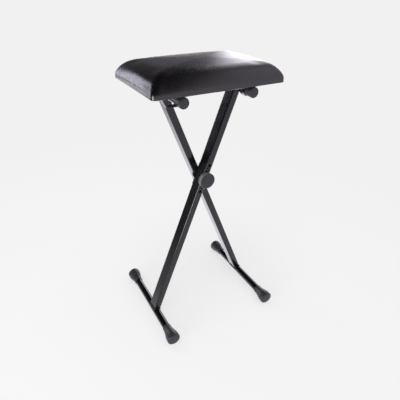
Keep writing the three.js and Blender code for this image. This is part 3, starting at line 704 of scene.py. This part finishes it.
standFor(makeLeg("front_leg_tube", -1, leanAngle), "front_leg")
standFor(makeLeg("rear_leg_tube", 1, leanAngle), "rear_leg")
print("legs made")


# Cross tubes and their end caps
tubeLook = {
    "foot": {"length": 325, "capRadius": 19.0, "capLength": 50, "capEnd": 6, "rim": 3.2},
    "top": {"length": 212, "capRadius": 13.0, "capLength": 24, "capEnd": 4, "rim": 2.0},
    "edge": 0.3, "neck": 1.4, "dome": 0.05, "sides": 96, "sharp": 50,
}
capShape = {
    "bellFrom": 0.1, "bellTo": 0.84, "bellSteps": 24, "rimFrom": 0.85, "rimDome": 0.3, "faceAt": 0.5,
    "faceDome": 0.85, "faceRadius": 8, "rimSteps": 8, "innerEdge": 0.5, "mouthEdge": 0.4, "lipEdge": 0.6,
    "lipTo": 0.09, "lipSteps": 4,
}


def capProfile(kind):
    # a bell: radius = neck + (big - neck) e^2 (3 - 2 e) from mouth to rim, then a soft rim and a domed face
    c, s = tubeLook[kind], capShape
    bore = bench[f"{kind}Tube"] + seam
    neck, big, length = bore + tubeLook["neck"], c["capRadius"], c["capLength"]
    t = np.linspace(s["bellFrom"], s["bellTo"], s["bellSteps"])
    e = (t - s["bellFrom"]) / (s["bellTo"] - s["bellFrom"])
    bell = np.stack([neck + (big - neck) * e ** 2 * (3 - 2 * e), t * length], -1)
    bulge, floor = length * tubeLook["dome"], length - c["capEnd"]
    rim = rounded([
        (big, length * s["rimFrom"], 0), (big, length + bulge * s["rimDome"], c["rim"]),
        (big * s["faceAt"], length + bulge * s["faceDome"], s["faceRadius"]), (0, length + bulge, 0),
    ], s["rimSteps"])
    lip = rounded([
        (0, floor, 0), (bore, floor, s["innerEdge"]), (bore, 0, s["mouthEdge"]), (neck, 0, s["lipEdge"]),
        (neck, length * s["lipTo"], 0),
    ], s["lipSteps"])
    return np.concatenate([lip[:-1], bell, rim[1:]])


def makeCrossTube(side, kind, x, z):
    # the tube ends short of its caps' floors; a foot's caps get the moulded flat that they stand on
    c = tubeLook[kind]
    sides = tubeLook["sides"]
    name = f"{side}_{kind}"
    bulge = c["capLength"] * tubeLook["dome"]
    end = c["length"] / 2 - bulge - c["capEnd"] - seam
    outer = bench[f"{kind}Tube"]
    wall = ringProfile(outer - bench["tubeWall"], outer, -end, end, tubeLook["edge"])
    standFor(creased(turnedRing(f"{name}_round_tube", wall, (x, 0, z), sides)), f"{name}_tube")
    mouth = c["length"] / 2 - bulge - c["capLength"]
    for place, flip in (("front", True), ("rear", False)):
        cap = turned(f"{name}_{place}_end_cap", capProfile(kind) + [0, mouth], (x, 0, z), sides, flip)
        if kind == "foot":
            points = vertexPoints(cap.data)
            points[:, 2] = np.maximum(points[:, 2], 0)
            setPoints(cap.data, points)
        standFor(creased(cap, tubeLook["sharp"]), f"{name}_{place}_cap")


for kind, reach, height in (("foot", footReach, footAxis), ("top", topReach, topAxis)):
    makeCrossTube("left", kind, -reach, height)
    makeCrossTube("right", kind, reach, height)
print("cross tubes and caps made")


# Welds: a bead on a closed path, the leg's outline laid onto the tube
weldLook = {
    "offset": 0.9, "bead": 1.55, "ripple": 2.2, "rippleHigh": 0.28, "rippleMiddle": 0.6, "sway": 0.12,
    "swayWaves": 3, "around": 320, "sides": 16,
}


def makeWeld(name, lean, y, x, z, tubeRadius, toTube):
    # the path is the leg's outline with z = sqrt(r^2 - x^2); its round section swells by |sin| every ripple
    # and sways slowly along the bead
    w = weldLook
    n = w["around"]
    halfX, halfY = bench["legWidth"] / 2 + w["offset"], bench["legDepth"] / 2 + w["offset"]
    loop = roundedLoop(halfX, halfY, bench["legCorner"] + w["offset"], n)
    lift = -toTube * np.sqrt((tubeRadius + w["offset"]) ** 2 - loop[:, 0] ** 2)
    path = np.column_stack([loop, lift])
    step = np.roll(path, -1, 0) - np.roll(path, 1, 0)
    length = np.linalg.norm(step, axis=1, keepdims=True)
    side = unit(np.cross(step / length, unit(path * (1, 0, 1))))
    up = np.cross(side, step / length)
    along = np.cumsum(length[:, 0] / 2)
    ripples = round(along[-1] / w["ripple"])
    phase = np.pi * ripples * along / along[-1]
    sway = w["sway"] * np.sin(2 * w["swayWaves"] * np.pi * along / along[-1] + x)
    swell = w["rippleHigh"] * (np.abs(np.sin(phase)) - w["rippleMiddle"])
    size = (w["bead"] + swell + sway)[:, None, None]
    a = fullTurn(w["sides"])[None, :, None]
    rings = path[:, None] + size * (np.cos(a) * side[:, None] + np.sin(a) * up[:, None])
    weld = meshFrom(name, rings.reshape(-1, 3), gridFaces(n, w["sides"], closed=True))
    leanOver(weld, lean, (x, y, z))
    standFor(weld, name.replace("_bead", "_weld"))


for name, side, x, z, tube, toTube in (
    ("left_foot", -1, -footReach, footAxis, "footTube", -1),
    ("right_top", -1, topReach, topAxis, "topTube", 1),
    ("right_foot", 1, footReach, footAxis, "footTube", -1),
    ("left_top", 1, -topReach, topAxis, "topTube", 1),
):
    makeWeld(f"{name}_bead", -side * leanAngle, side * legMiddle, x, z, bench[tube], toTube)
print("welds made")


# Pivot: knob, washer, carriage bolt, rivets and release spring
knobLook = {
    "radius": 22.0, "thick": 14.0, "edge": 2.4, "grooveAt": 4.2, "grooveWide": 1.3, "grooveDeep": 1.2,
    "grooveSlope": 0.05, "grooveEdge": 0.25, "grooveFoot": 0.2, "backIn": 1, "backHigh": 1.2, "backSoft": 0.5,
    "backEdge": 0.8, "dome": 0.8, "domeAt": 0.5, "domeShare": 0.75, "domeRadius": 12, "arcSteps": 7,
    "sides": 120, "sharp": 50,
}
washerLook = {"radius": 13.0, "bore": 5.3, "thick": 2.0, "edge": 0.3}
boltLook = {
    "radius": 5.0, "headRadius": 8.8, "headHigh": 4.0, "headRim": 0.2, "headSteps": 12, "grip": 10.0,
    "tipIn": 0.8, "tipLong": 1.2, "neckPast": 0.2, "sides": 64, "sharp": 40,
}
rivetLook = {
    "at": 27.0, "shank": 4.0, "bore": 2.6, "deep": 6.0, "head": 6.4, "headHigh": 1.5, "tail": 5.4,
    "tailHigh": 0.8, "tailIn": 0.6, "plateBase": 1.7, "boreEdge": 0.4, "mouthEdge": 0.9, "headEdge": 1.1,
    "tailEdge": 0.3, "edge": 0.2, "arcSteps": 6, "sides": 48, "sharp": 45,
}
springLook = {"radius": 7.5, "wire": 1.0, "turns": 2.5, "perTurn": 40, "sides": 12, "sharp": 60}


def makeKnob():
    # a turned disc with a groove round its rim, slightly domed
    k = knobLook
    back = legFace + 2 * seam + washerLook["thick"]
    r, top, floor = k["radius"], k["thick"], k["radius"] - k["grooveDeep"]
    near, far = k["grooveAt"], k["grooveAt"] + k["grooveWide"]
    profile = rounded([
        (0, 0, 0), (r - k["backIn"], 0, k["backSoft"]), (r, k["backHigh"], k["backEdge"]),
        (r, near, k["grooveEdge"]), (floor, near + k["grooveSlope"], k["grooveFoot"]),
        (floor, far - k["grooveSlope"], k["grooveFoot"]), (r, far, k["grooveEdge"]), (r, top, k["edge"]),
        (r * k["domeAt"], top + k["dome"] * k["domeShare"], k["domeRadius"]), (0, top + k["dome"], 0),
    ], k["arcSteps"])
    knob = turned("hand_knob", profile + [0, back], (0, 0, pivotHeight), k["sides"], True)
    standFor(creased(knob, k["sharp"]), "pivot_knob", "knob_nut")


def makeWasher():
    w = washerLook
    low = -legFace - seam - w["thick"]
    profile = ringProfile(w["bore"], w["radius"], low, low + w["thick"], w["edge"])
    standFor(creased(turnedRing("plain_washer", profile, (0, 0, pivotHeight))), "thrust_washer")


def makeBolt():
    # a domed head behind the rear leg, with a square neck in the leg's wall and a plain shank
    b = boltLook
    r = b["radius"]
    tip = -2 * legFace - 2 * seam - washerLook["thick"] - b["grip"]
    t = np.linspace(0, np.pi / 2, b["headSteps"])
    rise = b["headRim"] + (1 - b["headRim"]) * np.sin(t)
    dome = np.stack([b["headRadius"] * np.cos(t), seam + b["headHigh"] * rise], -1)
    stem = [(0, tip), (r - b["tipIn"], tip), (r, tip + b["tipLong"]), (r, seam), (b["headRadius"], seam)]
    bolt = turned("carriage_bolt", np.concatenate([stem, dome]), (0, 0, 0), b["sides"])
    cutBy(bolt, block("neck", r, r, -bench["legWall"], seam + b["neckPast"]), "UNION")
    creased(bolt, b["sharp"])
    leanOver(bolt, -leanAngle, (0, legFace, pivotHeight))
    standFor(bolt, "pivot_bolt")


def makeRivet(leg, place):
    # a tubular rivet: a rolled head round an open bore, its tail flared in the clutch plate
    r = rivetLook
    side = -1 if leg == "front" else 1
    up = 1 if place == "upper" else -1
    under = -seam
    head = under - r["headHigh"]
    tailEnd = bench["legDepth"] + seam + r["plateBase"]
    profile = rounded([
        (0, r["deep"], 0), (r["bore"], r["deep"], r["boreEdge"]), (r["bore"], head, r["mouthEdge"]),
        (r["head"], head, r["headEdge"]), (r["head"], under, r["edge"]), (r["shank"], under, r["edge"]),
        (r["shank"], tailEnd - r["tailHigh"], r["edge"]),
        (r["tail"], tailEnd - r["tailHigh"] / 2, r["tailEdge"]),
        (r["tail"] - r["tailIn"], tailEnd, r["edge"]), (0, tailEnd, 0),
    ], r["arcSteps"])
    rivet = turned(f"{leg}_{place}_tubular_rivet", profile - [0, legFace], (0, 0, 0), r["sides"])
    if side > 0:
        rivet.data.transform(Matrix.Rotation(np.pi, 4, "Z"))
    rivet.data.transform(Matrix.Translation((0, 0, up * r["at"] * mm)))
    leanOver(rivet, -side * leanAngle, (0, 0, pivotHeight))
    standFor(creased(rivet, r["sharp"]), f"{leg}_{place}_rivet")


def makeSpring():
    # a helix of round wire: (r cos a, climb t, r sin a), its section in the frame of the curve, its ends flat
    s = springLook
    climb = bench["legGap"] - 2 * seam - s["wire"]
    rows = round(s["turns"] * s["perTurn"]) + 1
    t = np.linspace(0, 1, rows)
    a = 2 * np.pi * s["turns"] * t
    out = np.column_stack([np.cos(a), np.zeros(rows), np.sin(a)])
    path = s["radius"] * out + np.column_stack([np.zeros(rows), climb * (t - 0.5), np.zeros(rows)])
    side = np.cross(unit(np.gradient(path, axis=0)), out)
    q = fullTurn(s["sides"])[None, :, None]
    rings = path[:, None] + s["wire"] / 2 * (np.cos(q) * out[:, None] + np.sin(q) * side[:, None])
    last = (rows - 1) * s["sides"]
    faces = gridFaces(rows, s["sides"])
    faces += [list(range(s["sides"]))[::-1], list(range(last, last + s["sides"]))]
    spring = meshFrom("clutch_release_spring", rings.reshape(-1, 3) + (0, 0, pivotHeight), faces)
    standFor(creased(spring, s["sharp"]), "release_spring")


makeKnob()
makeWasher()
makeBolt()
for leg in ("front", "rear"):
    for place in ("upper", "lower"):
        makeRivet(leg, place)
makeSpring()
print("pivot made")


# Under the seat: pressed brackets and nylon blocks from the frame's solids, with the width of each one's
# bevel, then the screws and the staples of the dust cover
bracketEdges = {
    ("right", "strap", "hinge_strap"): 0.35, ("right", "saddle", "nylon_saddle"): 0.4,
    ("left", "hook", "open_hook"): 0.35, ("left", "slide_rail", "nylon_rail"): 0.5,
}
for end in ("front", "rear"):
    for (side, node, name), edge in bracketEdges.items():
        softened(f"{side}_{end}_{name}", f"{side}_{end}_{node}", edge)

screwLook = {
    "head": 3.8, "headHigh": 2.3, "flatShare": 0.5, "domeShare": 0.9, "headSteps": 9, "shank": 2.0,
    "tip": 2.5, "slot": 0.9, "slotLong": 2.6, "slotDeep": 1.2, "slotPast": 1, "turn": 0.7, "sides": 36,
    "sharp": 40,
}


def makeScrews():
    # one pan head with a cross recess is made once and copied to each screw's place in the frame
    s = screwLook
    low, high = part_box("left_front_screw_a")
    tall = (high[2] - low[2]) / mm
    t = np.linspace(0, np.pi / 2, s["headSteps"])
    out = s["head"] * (s["flatShare"] + (1 - s["flatShare"]) * np.sin(t))
    pan = np.stack([out, s["headHigh"] * (1 - np.cos(t)) * s["domeShare"]], -1)
    stem = [(s["head"], s["headHigh"]), (s["shank"], s["headHigh"]), (s["shank"], tall - s["tip"]), (0, tall)]
    screw = turned("pan_head_screw", np.concatenate([[(0, 0)], pan, stem]), (0, 0, 0), s["sides"])
    for halfX, halfZ in ((s["slotLong"], s["slot"] / 2), (s["slot"] / 2, s["slotLong"])):
        cutBy(screw, block("slot_cutter", halfX, halfZ, -s["slotPast"], s["slotDeep"]))
    screw.data.transform(Matrix.Rotation(np.pi / 2, 4, "X"))
    creased(screw, s["sharp"])
    for i, name in enumerate(sorted(name for name in cadNodes if "_screw" in name)):
        copy = placed(f"{name}_pan_head", screw.data.copy())
        low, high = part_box(name)
        place = Vector(((low[0] + high[0]) / 2, (low[1] + high[1]) / 2, low[2]))
        copy.data.transform(Matrix.Translation(place) @ Matrix.Rotation(s["turn"] * i, 4, "Z"))
        standFor(copy, name)
    bpy.data.objects.remove(screw, do_unlink=True)


stapleLook = {
    "crown": 10.0, "wire": 0.6, "edge": 9.0, "pitch": 33.0, "seed": 4, "askew": 0.12, "taper": 0.92,
    "sunk": 0.1, "halfHigh": 0.3,
}


def makeStaples():
    # flat-backed wire crowns round the edge of the dust cover: a box of eight corners each, a little askew
    s = stapleLook
    low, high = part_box("seat_under_cover")
    halfX, halfY = ((high[k] - low[k]) / 2 / mm - s["edge"] for k in (0, 1))
    countX, countY = round(2 * halfX / s["pitch"]), round(2 * halfY / s["pitch"])
    alongX = np.linspace(-halfX + s["pitch"] / 2, halfX - s["pitch"] / 2, countX)
    alongY = np.linspace(-halfY + s["pitch"] / 2, halfY - s["pitch"] / 2, countY)
    spots = [(x, side * halfY, 0) for x in alongX for side in (-1, 1)]
    spots += [(side * halfX, y, np.pi / 2) for y in alongY for side in (-1, 1)]
    spots = np.array(spots)
    rng = np.random.default_rng(s["seed"])
    angle = spots[:, 2] + rng.normal(0, s["askew"], len(spots))
    signs = np.array([(sx, sy, sz) for sz in (-1, 1) for sx, sy in cornerSigns])
    taper = np.where(signs[:, 2:] < 0, s["taper"], 1.0)
    local = signs[:, :2] * (s["crown"] / 2, s["wire"] / 2) * taper
    cos, sin = np.cos(angle)[:, None], np.sin(angle)[:, None]
    x = spots[:, :1] + local[None, :, 0] * cos - local[None, :, 1] * sin
    y = spots[:, 1:2] + local[None, :, 0] * sin + local[None, :, 1] * cos
    z = np.broadcast_to(seatBottom - s["sunk"] + s["halfHigh"] * signs[:, 2], x.shape)
    points = np.stack([x, y, z], -1).reshape(-1, 3)
    box = np.array([(3, 2, 1, 0), (4, 5, 6, 7), (0, 1, 5, 4), (1, 2, 6, 5), (2, 3, 7, 6), (3, 0, 4, 7)])
    faces = (np.arange(len(spots))[:, None, None] * 8 + box).reshape(-1, 4)
    staples = meshFrom("dust_cover_staples", points, faces.tolist(), False)
    paint(staples, "bright_zinc")
    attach(staples, nodeBodies["seat_board"])


makeScrews()
makeStaples()
print("brackets, screws and staples made")


# Floor, world and lamps. Lamp angles are compass bearings from the seat, 0 along +Y and 90 along +X. A pair
# is the place or direction at which a value starts to change and the one at which it has changed.
studio = {
    "pale": "#f1f1f1", "shine": "#f1ebf6", "white": "#ffffff", "floor": "#e6e6e6", "half": 30000,
    "shadowShare": 0.3, "shadowLift": 1.4, "shadow": (0.55, 1.5), "front": 0.95, "frontEdge": (-0.1, 0.15),
    "left": 0.12, "right": 2.6, "sideEdge": (-0.35, 0.0), "glint": 3.0, "glintAt": (-1.12, 2.65, 0),
    "glintEdge": (0.35, 0.7), "soft": 0.5, "ceiling": 0.16, "ceilingEdge": (0.02, 0.2), "zenith": 0.15,
    "zenithEdge": (0.42, 0.7), "cove": 0.12, "coveBearing": 30, "coveEdge": (0.45, 0.95),
    "wall": 0.95, "wallAxis": (1, 0, -0.1), "wallEdge": (0.38, 0.47), "wallFront": (-0.1, 0.65),
    "window": 5.8, "windowEdge": (0.51, 0.6), "jamb": 0.25, "jambEdge": (0.64, 0.74),
    "windowRear": (0.0, 0.6), "aim": (0, 0, 0.72),
    "lamps": [
        # name, bearing, elevation, distance, width, height, watts, colour, whether it shows in reflections
        ("softboxBackLeft", -25.5, 6.5, 4.0, 0.68, 2.34, 22, "#eeeeff", True),
        ("stripLeftFront", -112, -9.5, 2.4, 1.6, 0.7, 28, "#ffffff", True),
        ("overhead", 205, 75, 3.0, 2.0, 2.0, 20, "#ffffff", False),
    ],
}


def glossyRay(tree, path):
    return calculate(tree, "MAXIMUM", path["Is Glossy Ray"], path["Is Transmission Ray"])


def makeFloor():
    # the camera sees the pale colour, of which a share near the bench comes from the lit floor, so that it
    # keeps the shadow; gloss sees it brighter behind on the right and dark behind on the left, but for the
    # patch in which the back softbox would show
    s = studio
    h = s["half"]
    floor = meshFrom("floor", [(sx * h, sy * h, 0) for sx, sy in cornerSigns], [(0, 1, 2, 3)], False)
    material, tree, point = newMaterial("paleStudioFloor")
    path = add(tree, "ShaderNodeLightPath").outputs
    axes = add(tree, "ShaderNodeSeparateXYZ", _0=point).outputs
    gloss = glossyRay(tree, path)
    seen = calculate(tree, "MAXIMUM", path["Is Camera Ray"], gloss)
    share = remap(tree, measure(tree, "LENGTH", point), *s["shadow"], s["shadowShare"], 0.0)
    across = remap(tree, axes["X"], *s["sideEdge"], s["left"], s["right"])
    glint = remap(tree, measure(tree, "DISTANCE", point, s["glintAt"]), *s["glintEdge"], s["glint"], 0.0)
    behind = calculate(tree, "MAXIMUM", across, glint)
    mirrored = remap(tree, axes["Y"], *s["frontEdge"], s["front"], behind)
    strength = add(tree, "ShaderNodeMix", {"data_type": "FLOAT"}, _0=gloss, _2=1.0, _3=mirrored)
    glow = calculate(tree, "MULTIPLY", strength, calculate(tree, "SUBTRACT", 1.0, share))
    lit = calculate(tree, "MULTIPLY", share, s["shadowLift"])
    shade = add(tree, "ShaderNodeBsdfDiffuse", Color=lit)
    tone = blendColour(tree, gloss, s["pale"], s["shine"])
    pale = add(tree, "ShaderNodeEmission", Color=tone, Strength=glow)
    shown = add(tree, "ShaderNodeAddShader", _0=shade, _1=pale)
    matt = add(tree, "ShaderNodeBsdfDiffuse", Color=linear(s["floor"]))
    mixed = add(tree, "ShaderNodeMixShader", _0=seen, _1=matt, _2=shown)
    add(tree, "ShaderNodeOutputMaterial", Surface=mixed)
    floor.data.materials.append(material)


def makeWorld():
    # even soft light, and the pale backdrop for the camera. Gloss sees the brightest of three: the backdrop,
    # which fades to a dark ceiling and away from the cove; a wall on the right in front; and a bright window
    # on the right behind, which ends at its jamb and under the zenith
    s = studio
    world = bpy.data.worlds.new("studio")
    bpy.context.scene.world = world
    world.use_nodes = True
    tree = world.node_tree
    tree.nodes.clear()
    path = add(tree, "ShaderNodeLightPath").outputs
    direction = add(tree, "ShaderNodeTexCoord").outputs["Generated"]
    axes = add(tree, "ShaderNodeSeparateXYZ", _0=direction).outputs
    bearing = np.radians(s["coveBearing"])
    cove = measure(tree, "DOT_PRODUCT", direction, (np.sin(bearing), np.cos(bearing), 0))
    low = remap(tree, axes["Z"], *s["ceilingEdge"], 1.0, s["ceiling"])
    high = remap(tree, axes["Z"], *s["zenithEdge"], 1.0, s["zenith"])
    fade = calculate(tree, "MULTIPLY", low, high)
    backdrop = calculate(tree, "MULTIPLY", fade, remap(tree, cove, *s["coveEdge"], s["cove"], 1.0))
    across = measure(tree, "DOT_PRODUCT", direction, s["wallAxis"])
    wall = remap(tree, across, *s["wallEdge"], 0.0, s["wall"])
    sheen = calculate(tree, "MULTIPLY", wall, remap(tree, axes["Y"], *s["wallFront"], 1.0, 0.0))
    opening = remap(tree, axes["X"], *s["windowEdge"], 0.0, s["window"])
    pane = calculate(tree, "MULTIPLY", opening, remap(tree, axes["X"], *s["jambEdge"], 1.0, s["jamb"]))
    window = calculate(tree, "MULTIPLY", pane, high)
    glare = calculate(tree, "MULTIPLY", window, remap(tree, axes["Y"], *s["windowRear"], 0.0, 1.0))
    shine = calculate(tree, "MAXIMUM", backdrop, calculate(tree, "MAXIMUM", sheen, glare))
    soft, mirrored, shown = (
        add(tree, "ShaderNodeBackground", Color=linear(s[colour]), Strength=strength)
        for colour, strength in (("white", s["soft"]), ("shine", shine), ("pale", 1.0))
    )
    inner = add(tree, "ShaderNodeMixShader", _0=glossyRay(tree, path), _1=soft, _2=mirrored)
    outer = add(tree, "ShaderNodeMixShader", _0=path["Is Camera Ray"], _1=inner, _2=shown)
    add(tree, "ShaderNodeOutputWorld", Surface=outer)


def makeLamps():
    for name, bearing, elevation, distance, width, height, watts, colour, mirrored in studio["lamps"]:
        b, e = np.radians(bearing), np.radians(elevation)
        aim = Vector(studio["aim"])
        place = aim + distance * Vector((np.sin(b) * np.cos(e), np.cos(b) * np.cos(e), np.sin(e)))
        lamp = bpy.data.lights.new(name, "AREA")
        lamp.shape = "RECTANGLE"
        lamp.size, lamp.size_y, lamp.energy = width, height, watts
        lamp.color = linear(colour)[:3]
        holder = placed(name, lamp)
        holder.location = place
        holder.rotation_euler = (aim - place).to_track_quat("-Z", "Y").to_euler()
        holder.visible_camera = False
        holder.visible_glossy = mirrored


makeFloor()
makeWorld()
makeLamps()
bpy.context.scene.view_settings.view_transform = "Standard"
print("stage made")
